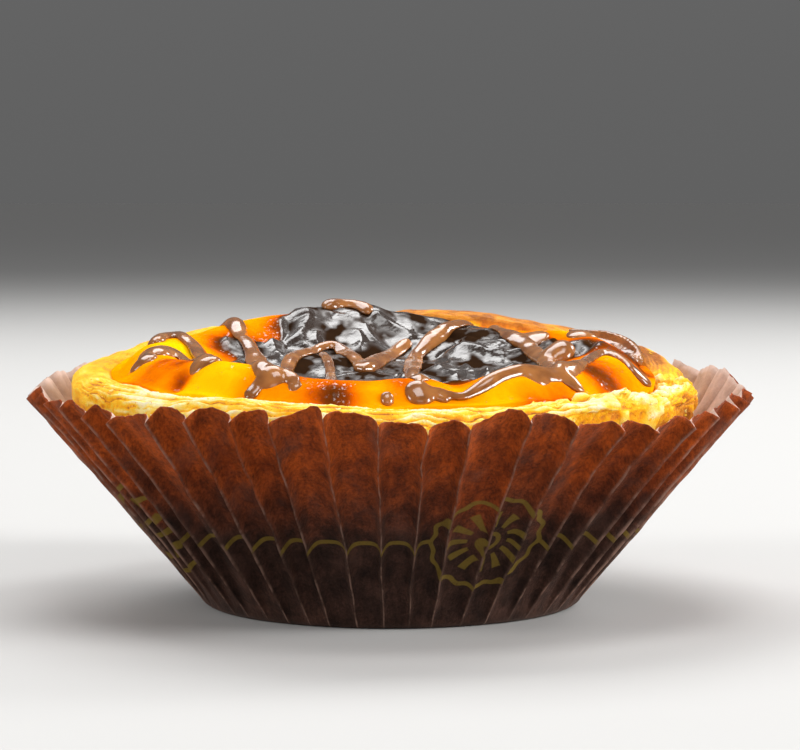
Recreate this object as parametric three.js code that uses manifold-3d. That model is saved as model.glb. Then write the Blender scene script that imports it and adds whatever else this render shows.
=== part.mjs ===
// A Portuguese custard tart in its pleated paper case: the case, the flaky pastry shell, and the custard with
// its drizzle of chocolate sauce. Millimetres, +Z up, the front towards -Y, the case's base on Z = 0.
import * as THREE from "three";
import { ParametricGeometry } from "three/addons/geometries/ParametricGeometry.js";
import { mergeVertices } from "three/addons/utils/BufferGeometryUtils.js";
import Module from "manifold-3d";

const wasm = await Module();
wasm.setup();

// ---- driving dimensions ----------------------------------------------------------------------------------

const paperCase = {
  flutes: 48,
  baseRadius: 21.6, // flat part of the base
  cornerRadius: 1.6, // between base and wall
  wallLength: 31.5, // along the paper, from the corner to the rim
  flareAtBase: THREE.MathUtils.degToRad(36.3), // from the vertical
  flareAtRim: THREE.MathUtils.degToRad(38.5),
  ridgeHeight: 1.6, // of the sharp outer folds over the plain wall, at the rim
  foldDepth: 1.5, // from a fold to the panel beside it, once the wall has left the corner
  ridgeSharpness: 3.2, // how quickly a fold drops to the panel beside it
  pitchShift: 0.17, // how the folds crowd together on two sides, in flute widths
  unevenPitch: 0.09, // share of a flute's width
  unevenRidge: 0.22,
  rimRise: 1.5, // of the rim where it stands free, at the sides and the rear
  rimDips: [
    // where the rim stands lower: middle and reach in degrees, depth
    [-47, 15, 1.7],
    [-84, 8, 1.1],
    [-137, 9, 0.7],
  ],
  narrowing: 0.018, // of the rim, front to back, against side to side
  thickness: 0.3,
  cornerRows: 2,
  wallShares: [0, 0.33, 1], // rows up the wall
};

const gap = 0.35; // clear space between neighbouring pieces

const shell = {
  underside: paperCase.thickness + gap,
  baseRadius: 21.5, // of the outer cone where it would meet Z = 0
  coneSlope: 0.73, // radius gained per millimetre of height
  bendStart: 13, // height above which the wall turns upright
  bend: 0.0187,
  rimHeight: 29.7,
  rimTilt: 3.6, // the back of the rim stands this much higher, the front this much lower
  rimDips: [
    // where the rim sank in the oven: middle and reach in degrees, depth
    [165, 38, 1.4],
    [2, 48, 2.6],
  ],
  rimWidth: 4.3,
  rimSwells: [
    // where the rim is wider: middle and reach in degrees, extra width
    [-20, 30, 1.8],
    [180, 30, 1.2],
  ],
  paperRoom: 1.2, // how far the lower wall keeps off the folded paper
  sideShift: -0.7, // of the rim, towards the left
  floorThickness: 3,
  floorRadius: 18,
  sectors: 96,
  wallRows: 4,
};

const custard = {
  edgeHeight: 29.7,
  tilt: 0.092, // height gained per millimetre towards the back
  ringHeight: 1.4, // of the swollen ring inside the pastry
  ringPlace: 0.86, // share of the radius
  ringWidth: 0.1,
  sink: 2.7, // of the middle, below the edge
  foldHeight: 0.62, // of the folds in the dark skin
  sectors: 48,
  rings: 12,
};

// Where the custard's surface stands higher or lower than the rest: x, y, reach, height.
const rises = [
  [-4, 28, 9, 1.5],
  [-17, 22, 6, 0.5],
  [0, 4, 8, -0.3],
  [-7, 13, 6, 0.5],
  [16, -26, 4.5, 0.35],
];

const sauce = {
  strandRadius: 1.25,
  bury: 0.4, // how far the strand's middle lies under the skin's surface, as a share of its radius
  halfSides: 3, // a strand's section has twice as many sides
  step: 4,
  ballSectors: 10,
  ballRows: 6,
};

// ---- small helpers ---------------------------------------------------------------------------------------

const fullTurn = 2 * Math.PI;
const { smoothstep, lerp } = THREE.MathUtils;

// A smooth closed wobble round the axis, between about -1 and 1, made of the given harmonics.
function wobble(angle, seed, first, last) {
  let sum = 0;
  for (let k = first; k <= last; k++) sum += Math.cos(k * angle + seed * (1 + 1.7 * k * k));
  return sum / Math.sqrt(last - first + 1);
}

// The sum at an angle of soft humps round the axis. Each has its middle and reach in degrees, and a size.
function humpsAt(angle, humps) {
  return humps.reduce((sum, [middle, reach, size]) => {
    const turn = THREE.MathUtils.euclideanModulo(THREE.MathUtils.radToDeg(angle) - middle + 180, 360) - 180;
    return sum + size * Math.exp(-((turn / reach) ** 2));
  }, 0);
}

// A closed skin: place(angle, row, target) for rows 0 to rows, whose first and last rows are single points.
function closedSkin(sectors, rows, place) {
  const surface = (u, v, target) => place(u < 1 ? u * fullTurn : 0, Math.round(v * rows), target);
  return new ParametricGeometry(surface, sectors, rows);
}

function solidOf(geometry) {
  const bare = geometry.index ? geometry.toNonIndexed() : geometry.clone();
  bare.deleteAttribute("normal");
  bare.deleteAttribute("uv");
  const merged = mergeVertices(bare, 1e-4);
  return new wasm.Manifold(
    new wasm.Mesh({
      numProp: 3,
      vertProperties: merged.attributes.position.array,
      triVerts: new Uint32Array(merged.index.array),
    }),
  );
}

function geometryOf(solid) {
  const mesh = solid.getMesh();
  return new THREE.BufferGeometry()
    .setAttribute("position", new THREE.BufferAttribute(mesh.vertProperties, 3))
    .setIndex(new THREE.BufferAttribute(mesh.triVerts, 1));
}

function piece(name, geometry, colour, roughness) {
  const look = new THREE.MeshStandardMaterial({ color: colour, roughness, metalness: 0 });
  const mesh = new THREE.Mesh(geometry, look);
  mesh.name = name;
  return mesh;
}

// ---- paper case ------------------------------------------------------------------------------------------

// Where flute edge i stands round the axis, in flute widths. The pitch is a little uneven.
function fluteEdge(i) {
  const { flutes, pitchShift, unevenPitch } = paperCase;
  const k = ((i % flutes) + flutes) % flutes;
  const crowded = Math.cos((i / flutes) * 2 * fullTurn + THREE.MathUtils.degToRad(160)) + 1;
  return i + unevenPitch * Math.sin(2.4 * k * k + 1) - pitchShift * crowded;
}

const ridgeOf = (i) => {
  const k = ((i % paperCase.flutes) + paperCase.flutes) % paperCase.flutes;
  return 1 + paperCase.unevenRidge * Math.sin(3.1 * k * k + 0.5);
};

// Radius, height and flare of the panels between the folds, at the distance along the wall given as a share.
function panelAt(share) {
  const { baseRadius, cornerRadius, wallLength, flareAtBase, flareAtRim } = paperCase;
  const turned = Math.PI / 2 - flareAtBase;
  const curve = (flareAtRim - flareAtBase) / wallLength;
  const flare = lerp(flareAtBase, flareAtRim, share);
  return {
    radius: baseRadius + cornerRadius * Math.sin(turned) + (Math.cos(flareAtBase) - Math.cos(flare)) / curve,
    height: cornerRadius * (1 - Math.cos(turned)) + (Math.sin(flare) - Math.sin(flareAtBase)) / curve,
    flare,
  };
}

function paperCaseGeometry() {
  const { flutes, baseRadius, cornerRadius, flareAtBase, ridgeHeight, foldDepth, ridgeSharpness } = paperCase;
  const { rimRise, rimDips, narrowing, thickness, cornerRows, wallShares } = paperCase;
  const across = [0, 0.2, 0.5, 0.8]; // places along a flute, from one fold to the next
  const rowsOneSide = cornerRows + wallShares.length;
  const lastRow = 2 * rowsOneSide + 1;

  // One point of the paper. Row 0 is the middle of the base, row 1 its edge, then the corner and the wall.
  function paperPoint(column, row, inwards, target) {
    const i = Math.floor(column / across.length);
    const t = across[column % across.length];
    const angle = ((lerp(fluteEdge(i), fluteEdge(i + 1), t) / flutes) % 1) * fullTurn;
    let radius = 0;
    let height = inwards;
    if (row > 0 && row <= 1 + cornerRows) {
      const turned = ((row - 1) / cornerRows) * (Math.PI / 2 - flareAtBase);
      radius = baseRadius + (cornerRadius - inwards) * Math.sin(turned);
      height = cornerRadius - (cornerRadius - inwards) * Math.cos(turned);
    } else if (row > 1 + cornerRows) {
      const share = wallShares[row - 1 - cornerRows];
      const { radius: r, height: z, flare } = panelAt(share);
      const fold = lerp(ridgeOf(i), ridgeOf(i + 1), t) * Math.pow(Math.abs(2 * t - 1), ridgeSharpness);
      const free = smoothstep(Math.sin(angle), -0.25, 0.4);
      const depth = foldDepth * (Math.min(1, share / 0.33) ** 0.8 + 0.3 * free * share ** 6);
      const out = ridgeHeight * share - depth * (1 - fold) + 0.4 * free * share ** 6 - inwards;
      const oval = 1 - narrowing * share * Math.sin(angle) ** 2;
      radius = (r + out * Math.cos(flare)) * oval;
      height = z - out * Math.sin(flare) + rimRise * free * share ** 10 - humpsAt(angle, rimDips) * share ** 4;
    }
    return target.set(radius * Math.cos(angle), radius * Math.sin(angle), height);
  }

  const columns = flutes * across.length;
  return closedSkin(columns, lastRow, (angle, row, target) => {
    const column = Math.round((angle / fullTurn) * columns);
    const outside = row <= rowsOneSide;
    return paperPoint(column, outside ? row : lastRow - row, outside ? 0 : thickness, target);
  });
}

// ---- pastry shell ----------------------------------------------------------------------------------------

function rimTop(angle) {
  const { rimHeight, rimTilt, rimDips } = shell;
  return rimHeight + rimTilt * Math.sin(angle) + 0.35 * wobble(angle, 2.1, 3, 6) - humpsAt(angle, rimDips);
}

function shellRadius(angle, height) {
  const { baseRadius, coneSlope, bendStart, bend, sideShift } = shell;
  const cone = baseRadius + coneSlope * height - bend * Math.max(0, height - bendStart) ** 2;
  const risen = smoothstep(height, bendStart, 26);
  return cone + risen * (sideShift * Math.cos(angle) + 0.32 * wobble(angle, 4.7, 2, 7));
}

const rimWidth = (angle) => shell.rimWidth + 0.4 * wobble(angle, 1.3, 2, 5) + humpsAt(angle, shell.rimSwells);

// The pastry's layers show as stepped ledges over the rim, each with its own ragged edge.
const layerRag = (angle, layer) => wobble(angle, 3.3 + 2.1 * layer, 9, 14);

// The shell's outline at one angle, from the middle of its underside over the rim to the middle of its floor.
// grow moves every face outwards, to cut neighbours back by that much.
function shellOutline(angle, grow = 0) {
  const { underside, floorThickness, floorRadius, paperRoom, wallRows } = shell;
  const top = rimTop(angle) + grow;
  const low = underside - grow;
  const width = rimWidth(angle) + 2 * grow;
  const outline = [
    [0, low],
    [shellRadius(angle, low) - paperRoom - 1.2 + grow, low],
  ];
  for (let k = 0; k <= wallRows; k++) {
    const height = lerp(underside + 0.9, top - 2.6, k / wallRows);
    const crimp = 0.28 * wobble(angle, 5.9, 11, 15) * smoothstep(height, 16, 24);
    const room = paperRoom * (1 - smoothstep(height, 13, 25));
    outline.push([shellRadius(angle, height) + crimp - room + grow, height]);
  }
  const rimRadius = shellRadius(angle, top) + grow;
  const ledges = [
    // share of the rim's width from the outside, depth below the top
    [0.03, 1.5],
    [0.14, 1.25],
    [0.17, 0.6],
    [0.38, 0.45],
    [0.41, 0.0],
    [0.66, 0.05],
    [0.7, 0.4],
    [0.97, 0.75],
  ];
  ledges.forEach(([share, depth], k) => {
    const layer = Math.floor(k / 2);
    const rag = layerRag(angle, layer);
    outline.push([rimRadius - share * width + 0.32 * rag, top - depth + 0.22 * layerRag(angle, layer + 5)]);
  });
  const innerTop = rimRadius - width;
  const floor = underside + floorThickness + grow;
  outline.push([innerTop, top - 1.6], [lerp(innerTop, floorRadius, 0.5) + 1.2, lerp(top, floor, 0.5)]);
  outline.push([floorRadius - grow, floor], [0, floor]);
  return outline;
}

function shellGeometry(grow = 0) {
  const { sectors } = shell;
  const rows = shellOutline(0).length - 1;
  return closedSkin(sectors, rows, (angle, row, target) => {
    const [radius, height] = shellOutline(angle, grow)[row];
    return target.set(radius * Math.cos(angle), radius * Math.sin(angle), height);
  });
}

// ---- custard and chocolate sauce -------------------------------------------------------------------------

const custardRadius = (angle) => shellRadius(angle, rimTop(angle)) - rimWidth(angle) - gap;

// Crossing folds of the skin that rose and fell back. Each runs along its own heading with its own spacing.
function skinFolds(x, y) {
  const folds = [
    // heading in degrees, spacing, start, share
    [18, 9.5, 0.4, 0.45],
    [-38, 7.6, 1.9, 0.35],
    [71, 11, 3.1, 0.4],
    [-8, 6.1, 5.2, 0.25],
  ];
  let sum = 0;
  for (const [heading, spacing, start, share] of folds) {
    const turn = THREE.MathUtils.degToRad(heading);
    const along = x * Math.cos(turn) + y * Math.sin(turn);
    const bent = 1.1 * Math.sin((y * Math.cos(turn) - x * Math.sin(turn)) / 5.3 + start);
    sum += share * (1 - 2 * Math.abs(Math.sin((Math.PI * along) / spacing + bent + start)));
  }
  return sum;
}

// The height of the custard's skin over a point of the plan.
function skinHeight(x, y) {
  const { edgeHeight, tilt, ringHeight, ringPlace, ringWidth, sink, foldHeight } = custard;
  const angle = Math.atan2(y, x);
  const share = Math.hypot(x, y) / custardRadius(angle);
  const backDip = Math.exp(-(((angle - 1.25) / 0.5) ** 2));
  const frontDip = 0.8 * Math.exp(-(((angle + 1.61) / 0.26) ** 2));
  const swell = ringHeight - 0.7 * Math.sin(angle) - backDip - frontDip + 0.3 * wobble(angle, 6.3, 5, 9);
  const ring = swell * Math.exp(-(((share - ringPlace) / ringWidth) ** 2));
  const middle = 1 - smoothstep(share, 0.45, 0.85);
  const folds = foldHeight * skinFolds(x, y) * (1 - smoothstep(share, 0.6, 0.9));
  const hills = rises.reduce((sum, [px, py, reach, rise]) => {
    return sum + rise * Math.exp(-((x - px) ** 2 + (y - py) ** 2) / reach ** 2);
  }, 0);
  const sunk = 0.9 * humpsAt(angle, shell.rimDips) * Math.min(share, 1) ** 4;
  return edgeHeight + tilt * y + ring - sink * middle + folds + hills - sunk - 0.9 * smoothstep(share, 0.93, 1);
}

function custardGeometry() {
  const { sectors, rings } = custard;
  const floor = shell.underside + shell.floorThickness + gap;
  const floorRadius = shell.floorRadius - 1.2;
  const firstRing = 4;
  return closedSkin(sectors, firstRing + rings, (angle, row, target) => {
    const edge = custardRadius(angle);
    const edgeTop = skinHeight(edge * Math.cos(angle), edge * Math.sin(angle));
    const side = [
      [0, floor],
      [floorRadius, floor],
      [lerp(edge, floorRadius, 0.5) + 0.7, lerp(edgeTop, floor, 0.5)],
      [edge - 0.1, edgeTop - 1.2],
    ];
    if (row < firstRing) {
      const [radius, height] = side[row];
      return target.set(radius * Math.cos(angle), radius * Math.sin(angle), height);
    }
    const radius = edge * (1 - (row - firstRing) / rings);
    const x = radius * Math.cos(angle);
    const y = radius * Math.sin(angle);
    return target.set(x, y, skinHeight(x, y));
  });
}

// The poured lines, seen from above. Each runs to and fro across the tart and turns close to the pastry.
const pouredLines = [
  [[-27.5, 4.5], [-27.5, 9], [-25.3, 10.5], [-21.8, -6], [-20.5, -19.5], [-22.5, -14], [-25.6, 0.8], [-29.2, -12.8]],
  [[-21.6, 23], [-19.1, 16.5], [-16, 2], [-15, -14], [-13.6, -28]],
  [[-13, -28], [-12.6, -14], [-12.6, 6], [-10.5, 13], [-7.7, 16.4], [-4.2, 9.5], [-1.4, 12.5], [2.2, 20.5], [5, 26]],
  [[-8.7, 12.6], [-7.5, 5], [-7, -8], [-6.5, -17]],
  [[8.2, 27], [6.2, 22], [3, 15], [2.7, 8], [2.5, -8], [3.3, -29]],
  [[3.3, -30.4], [9.3, -28], [12.9, -24.8], [17.5, -23.3], [21.4, -18], [24.8, -3], [26.2, -0.5], [28.6, -9]],
  [[8.2, 27], [12, 23.5], [17, 14.5], [19.2, 2], [19.5, -10], [19.6, -21], [22, -23.6]],
  [[13, 23], [16.5, 20.5], [19.5, 16.5], [22.5, 8], [24.6, -4]],
  [[-8.6, 25], [-8.2, 27.5], [-5.6, 29.3], [-3, 28], [-2.8, 25]],
];

// Blobs where the line slowed down: x, y, radius across, height above the skin.
const blobs = [
  [-13, -28.2, 2.6, 1.3],
  [3.2, -30.2, 1.9, 0.9],
  [-27, -4.5, 2.2, 0.6],
  [-21, -19, 1.7, 0.7],
  [16, -23.8, 1.8, 0.7],
];

function strandSolid(line) {
  const { strandRadius, bury, halfSides, step } = sauce;
  const plan = new THREE.CatmullRomCurve3(
    line.map(([x, y]) => new THREE.Vector3(x, y, 0)),
    false,
    "centripetal",
  );
  const steps = Math.ceil(plan.getLength() / step);
  const onSkin = plan.getSpacedPoints(steps).map(({ x, y }) => {
    return new THREE.Vector3(x, y, skinHeight(x, y) - bury * strandRadius);
  });
  const section = new THREE.Shape().absarc(0, 0, strandRadius, 0, fullTurn);
  const tube = new THREE.ExtrudeGeometry(section, {
    curveSegments: halfSides,
    steps,
    bevelEnabled: false,
    extrudePath: new THREE.CatmullRomCurve3(onSkin),
  });
  return solidOf(tube);
}

function blobSolid([x, y, radius, height]) {
  const ball = new THREE.SphereGeometry(1, sauce.ballSectors, sauce.ballRows).rotateX(Math.PI / 2);
  ball.scale(radius, radius, height).translate(x, y, skinHeight(x, y) + 0.1);
  return solidOf(ball);
}

// The custard with the sauce fused on, cut back from the pastry. Scraps cut loose are dropped.
function filledGeometry() {
  let filling = solidOf(custardGeometry());
  for (const line of pouredLines) filling = filling.add(strandSolid(line));
  for (const blob of blobs) filling = filling.add(blobSolid(blob));
  const clear = filling.subtract(solidOf(shellGeometry(gap)));
  const bodies = clear.decompose().sort((a, b) => b.volume() - a.volume());
  return geometryOf(bodies[0]);
}

// ---- the object ------------------------------------------------------------------------------------------

const tart = new THREE.Group();
tart.add(
  piece("paper_case", paperCaseGeometry(), 0x5a2a18, 0.6),
  piece("pastry_shell", shellGeometry(), 0xeebb58, 0.7),
  piece("custard_filling", filledGeometry(), 0xf09a10, 0.3),
);

export default tart;
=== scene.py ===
# A Portuguese custard tart in its pleated paper case, with chocolate sauce poured over it to and fro.
# Shapes are worked out in millimetres, with the front towards -Y, and written to the meshes in metres.
import math
import bmesh
import bpy
import numpy as np
from mathutils import Matrix, Vector


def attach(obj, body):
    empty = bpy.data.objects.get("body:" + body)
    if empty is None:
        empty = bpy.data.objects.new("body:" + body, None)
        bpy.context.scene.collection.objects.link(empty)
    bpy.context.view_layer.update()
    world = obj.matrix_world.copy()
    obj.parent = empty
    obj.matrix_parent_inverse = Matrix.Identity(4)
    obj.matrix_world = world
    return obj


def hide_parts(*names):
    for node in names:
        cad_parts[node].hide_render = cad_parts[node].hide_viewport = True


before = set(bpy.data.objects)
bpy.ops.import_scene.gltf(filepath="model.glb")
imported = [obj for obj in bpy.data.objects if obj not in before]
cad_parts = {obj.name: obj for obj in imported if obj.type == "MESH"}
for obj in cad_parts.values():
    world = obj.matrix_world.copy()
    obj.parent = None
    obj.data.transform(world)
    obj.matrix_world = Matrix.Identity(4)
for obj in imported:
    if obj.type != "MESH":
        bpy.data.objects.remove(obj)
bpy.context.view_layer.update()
mm = 0.001
fullTurn = 2 * math.pi


# small sums used by every piece

def smoothStep(x, low, high):
    t = np.clip((x - low) / (high - low), 0, 1)
    return t * t * (3 - 2 * t)


def hump(x, middle, width):  # 1 at the middle, falling off to nothing
    return np.exp(-(((x - middle) / width) ** 2))


def angleHump(angle, middle, width):  # the same round the axis, in degrees
    turn = (np.degrees(angle) - middle + 180) % 360 - 180
    return np.exp(-((turn / width) ** 2))


def angleWindow(angle, first, last, soft):  # 1 between two angles in degrees, with soft ends
    turn = (np.degrees(angle) - first + soft) % 360 - soft
    return smoothStep(turn, -soft, soft) * (1 - smoothStep(turn, last - first - soft, last - first + soft))


def humpsAt(angle, humps):  # the sum of several, each with its middle and reach in degrees, and a size
    return sum(size * angleHump(angle, middle, reach) for middle, reach, size in humps)


def moundsAt(x, y, mounds):  # the sum of several, each with its place, reach and height
    return sum(rise * np.exp(-((x - px) ** 2 + (y - py) ** 2) / reach ** 2) for px, py, reach, rise in mounds)


def wobble(angle, seed, first, last):  # closes on itself round the axis, about -1 to 1
    total = sum(np.cos(k * angle + seed * (1 + 1.7 * k * k)) for k in range(first, last + 1))
    return total / math.sqrt(last - first + 1)


def softNoise(x, y, z, seed=0):  # smooth lattice noise, about -1 to 1, one unit between lattice points
    x, y, z = np.broadcast_arrays(x, y, z)
    corner = [np.floor(a).astype(np.int64) for a in (x, y, z)]
    share = [a - c for a, c in zip((x, y, z), corner)]
    share = [s * s * s * (s * (s * 6 - 15) + 10) for s in share]
    total = 0
    for step in range(8):
        pick = [(step >> axis) & 1 for axis in range(3)]
        i, j, k = (c + p for c, p in zip(corner, pick))
        h = (i * 374761393 + j * 668265263 + k * 1103515245 + seed * 362437) & 0xFFFFFFFF
        h = ((h ^ (h >> 13)) * 1274126177) & 0xFFFFFFFF
        value = ((h ^ (h >> 16)) & 0xFFFF) / 32767.5 - 1
        weight = 1
        for s, p in zip(share, pick):
            weight = weight * (s if p else 1 - s)
        total = total + value * weight
    return total


def layeredNoise(x, y, z, octaves, seed=0):
    parts = [softNoise(x * 2 ** k, y * 2 ** k, z * 2 ** k, seed + 7 * k) / 2 ** k for k in range(octaves)]
    return sum(parts) / 1.6


def ridgedNoise(x, y, z, seed=0, soft=0.12):  # crests near 1, wide hollows near 0
    return 1 - np.tanh(np.sqrt(softNoise(x, y, z, seed) ** 2 + soft ** 2) * 2)


def ringPoints(radius, angle, height):
    return np.stack(np.broadcast_arrays(radius * np.cos(angle), radius * np.sin(angle), height), -1)


# meshes

def adjust(thing, **settings):
    for key, value in settings.items():
        setattr(thing, key, value)
    return thing


def putAttribute(mesh, name, values):
    made = mesh.attributes.new(name, "FLOAT", "POINT")
    made.data.foreach_set("value", np.asarray(values, np.float32).ravel())


def addObject(name, data):
    made = bpy.data.objects.new(name, data)
    bpy.context.scene.collection.objects.link(made)
    return made


def loftMesh(name, points, values):
    # points[row, sector] in mm, closed round the axis. The first and last rows are single points on the axis.
    rows, sectors = points.shape[:2]
    ring = points[1:-1].reshape(-1, 3)
    places = np.vstack([points[0, :1], ring, points[-1, :1]]) * mm
    i = np.arange(sectors)
    after = (i + 1) % sectors
    quads = []
    for row in range(rows - 3):
        low, high = 1 + row * sectors, 1 + (row + 1) * sectors
        quads.append(np.stack([low + i, low + after, high + after, high + i], 1))
    quads = np.vstack(quads)
    last = 1 + (rows - 3) * sectors
    fans = np.vstack([
        np.stack([np.zeros(sectors, int), 1 + after, 1 + i], 1),
        np.stack([last + i, last + after, np.full(sectors, len(places) - 1)], 1),
    ])
    mesh = bpy.data.meshes.new(name)
    mesh.vertices.add(len(places))
    mesh.vertices.foreach_set("co", places.astype(np.float32).ravel())
    loops = np.concatenate([quads.ravel(), fans.ravel()])
    mesh.loops.add(len(loops))
    mesh.loops.foreach_set("vertex_index", loops.astype(np.int32))
    starts = np.concatenate([np.arange(len(quads)) * 4, len(quads) * 4 + np.arange(len(fans)) * 3])
    mesh.polygons.add(len(starts))
    mesh.polygons.foreach_set("loop_start", starts.astype(np.int32))
    mesh.update(calc_edges=True)
    mesh.validate()
    mesh.shade_smooth()
    for key, value in values.items():
        value = np.broadcast_to(value, (rows, sectors))
        putAttribute(mesh, key, np.concatenate([value[0, :1], value[1:-1].ravel(), value[-1, :1]]))
    return mesh


def gridNormals(points):
    around = np.roll(points, -1, 1) - np.roll(points, 1, 1)
    along = np.gradient(points, axis=0)
    normal = np.cross(around, along)
    normal = normal / np.maximum(np.linalg.norm(normal, axis=2, keepdims=True), 1e-9)
    for _ in range(4):  # rounds the turn at sharp corners, where moved rows would fold over
        normal[1:-1] = (normal[:-2] + 2 * normal[1:-1] + normal[2:]) / 4
    return normal / np.maximum(np.linalg.norm(normal, axis=2, keepdims=True), 1e-9)


# node trees

def feed(node, inputs):
    # Gives the node's sockets, by name or number, another node's output or else a plain value.
    for key, value in inputs.items():
        socket = node.inputs[key]
        if isinstance(value, Sum):
            value = value.socket
        if isinstance(value, bpy.types.NodeSocket):
            node.id_data.links.new(value, socket)
        elif socket.type == "RGBA":
            socket.default_value = (*value, 1)
        else:
            socket.default_value = value


def addNode(tree, kind, inputs=None, **settings):
    made = adjust(tree.nodes.new(kind), **settings)
    feed(made, inputs or {})
    return made


class Sum:  # a number in a node tree that can be written as a plain sum
    def __init__(self, tree, socket):
        self.tree, self.socket = tree, socket

    def do(self, operation, *values, clamp=False):
        values = dict(enumerate(values))
        made = addNode(self.tree, "ShaderNodeMath", values, operation=operation, use_clamp=clamp)
        return Sum(self.tree, made.outputs[0])

    def __neg__(self):
        return self.do("MULTIPLY", self, -1)

    def clamp(self):
        return self.do("ADD", self, 0, clamp=True)

    def smooth(self, low, high):  # 0 at low, 1 at high, with soft ends
        values = {"Value": self, "From Min": low, "From Max": high}
        made = addNode(self.tree, "ShaderNodeMapRange", values, interpolation_type="SMOOTHSTEP")
        return Sum(self.tree, made.outputs["Result"])


def addOperator(method, operation, swapped=False):
    def result(self, *others):
        return self.do(operation, *others, self) if swapped else self.do(operation, self, *others)
    setattr(Sum, method, result)


for method, operation in {
        "__add__": "ADD", "__sub__": "SUBTRACT", "__mul__": "MULTIPLY", "__truediv__": "DIVIDE",
        "__pow__": "POWER", "__mod__": "FLOORED_MODULO", "__abs__": "ABSOLUTE", "sin": "SINE",
        "cos": "COSINE", "floor": "FLOOR", "most": "MAXIMUM"}.items():
    addOperator(method, operation)
for method, operation in {"__radd__": "ADD", "__rsub__": "SUBTRACT", "__rmul__": "MULTIPLY"}.items():
    addOperator(method, operation, swapped=True)


def vectorOf(tree, x, y, z):
    return addNode(tree, "ShaderNodeCombineXYZ", {"X": x, "Y": y, "Z": z}).outputs[0]


def partsOf(tree, vector):
    made = addNode(tree, "ShaderNodeSeparateXYZ", {0: vector})
    return [Sum(tree, socket) for socket in made.outputs]


def positionParts(tree):
    return partsOf(tree, addNode(tree, "GeometryNodeInputPosition").outputs[0])


def scaled(tree, vector, factor):
    factor = factor if isinstance(factor, tuple) else (factor,) * 3
    return addNode(tree, "ShaderNodeVectorMath", {0: vector, 1: factor}, operation="MULTIPLY").outputs[0]


def noiseOf(tree, vector, scale, detail, roughness=0.5):
    values = {"Vector": vector, "Scale": scale, "Detail": detail, "Roughness": roughness}
    return Sum(tree, addNode(tree, "ShaderNodeTexNoise", values).outputs[0])


def geometryTree(name, numbers):
    # numbers: the inputs' names and defaults. Returns the tree with its input node and its output node.
    tree = bpy.data.node_groups.new(name, "GeometryNodeTree")
    tree.interface.new_socket("Geometry", in_out="INPUT", socket_type="NodeSocketGeometry")
    for key, value in numbers.items():
        kind = "NodeSocketInt" if isinstance(value, int) else "NodeSocketFloat"
        tree.interface.new_socket(key, in_out="INPUT", socket_type=kind).default_value = value
    tree.interface.new_socket("Geometry", in_out="OUTPUT", socket_type="NodeSocketGeometry")
    return tree, addNode(tree, "NodeGroupInput"), addNode(tree, "NodeGroupOutput")


def worked(tree, geometry, kind, inputs=None, **settings):  # the geometry after one more node
    return addNode(tree, "GeometryNode" + kind, {0: geometry, **(inputs or {})}, **settings).outputs[0]


def finishTree(tree, geometry, material, result):
    real = worked(tree, geometry, "RealizeInstances")
    feed(result, {0: worked(tree, real, "SetMaterial", {"Material": material})})
    return tree


def plainMesh(piece):  # as its modifiers leave it
    depsgraph = bpy.context.evaluated_depsgraph_get()
    return bpy.data.meshes.new_from_object(
        piece.evaluated_get(depsgraph), preserve_all_data_layers=True, depsgraph=depsgraph)


def meshFromTree(tree, host, inputs):
    # Runs the tree on the host and returns a plain mesh. Inputs are set by their sockets' identifiers.
    maker = addObject("maker", host)
    modifier = maker.modifiers.new("make", "NODES")
    modifier.node_group = tree
    for item in tree.interface.items_tree:
        if item.in_out == "INPUT" and item.name in inputs:
            modifier[item.identifier] = inputs[item.name]
    mesh = plainMesh(maker)
    maker.modifiers.remove(modifier)
    bpy.data.objects.remove(maker)
    return mesh


def settle(piece, slot, *nodes):
    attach(piece, "root")
    if nodes:
        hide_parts(*nodes)
    print(piece.name + ":", len(piece.data.polygons), "faces")


# materials

def startMaterial(name):
    material = bpy.data.materials.new(name)
    material.use_nodes = True
    tree = material.node_tree
    shader = tree.nodes["Principled BSDF"]
    place = scaled(tree, addNode(tree, "ShaderNodeTexCoord").outputs["Object"], 1000)  # in millimetres
    return material, tree, shader, place


def mixColour(tree, share, first, second, blend="MIX"):  # the mixer's colours are inputs 6 and 7, output 2
    values = {0: share, 6: first, 7: second}
    return addNode(tree, "ShaderNodeMix", values, data_type="RGBA", blend_type=blend).outputs[2]


def ramp(tree, value, stops):
    made = addNode(tree, "ShaderNodeValToRGB", {0: value})
    entries = made.color_ramp.elements
    while len(entries) < len(stops):
        entries.new(0.5)
    for entry, (place, colour) in zip(entries, stops):
        entry.position = place
        entry.color = (*colour, 1)
    return made.outputs[0]


def attributeOf(tree, name):
    return Sum(tree, addNode(tree, "ShaderNodeAttribute", attribute_name=name).outputs["Fac"])


def addBump(tree, shader, height, distance, strength):
    made = addNode(tree, "ShaderNodeBump", {"Strength": strength, "Distance": distance, "Height": height})
    feed(shader, {"Normal": made.outputs[0]})


def addDepth(shader, weight, radius, scale):  # light that goes a little way into the food
    feed(shader, {"Subsurface Weight": weight, "Subsurface Radius": radius, "Subsurface Scale": scale})


# ---- paper case: its shape follows a rule, so Geometry Nodes make it

paper = {
    "flutes": 48,
    "baseRadius": 21.6,
    "cornerRadius": 1.6,
    "wallLength": 31.5,
    "flareAtBase": math.radians(36.3),
    "flareAtRim": math.radians(38.5),
    "ridgeHeight": 1.6,
    "ridgeSharpness": 5.5,
    "pitchShift": 0.17,
    "unevenPitch": 0.09,
    "unevenRidge": 0.22,
    "narrowing": 0.018,
    "foldDepth": 1.5,  # of the flutes once the wall has left the corner
    "rimRise": 1.5,  # of the free rim at the sides and rear
    "rimSlant": 1.6,  # how far the panels' top edges lean to one side
    "panelLift": 0.4,  # how unevenly the panels between the folds stand
    "kink": 0.34,  # sideways wander of each fold
    "crumple": 0.5,
    "columns": 720,
    "rows": 57,
}
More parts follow.
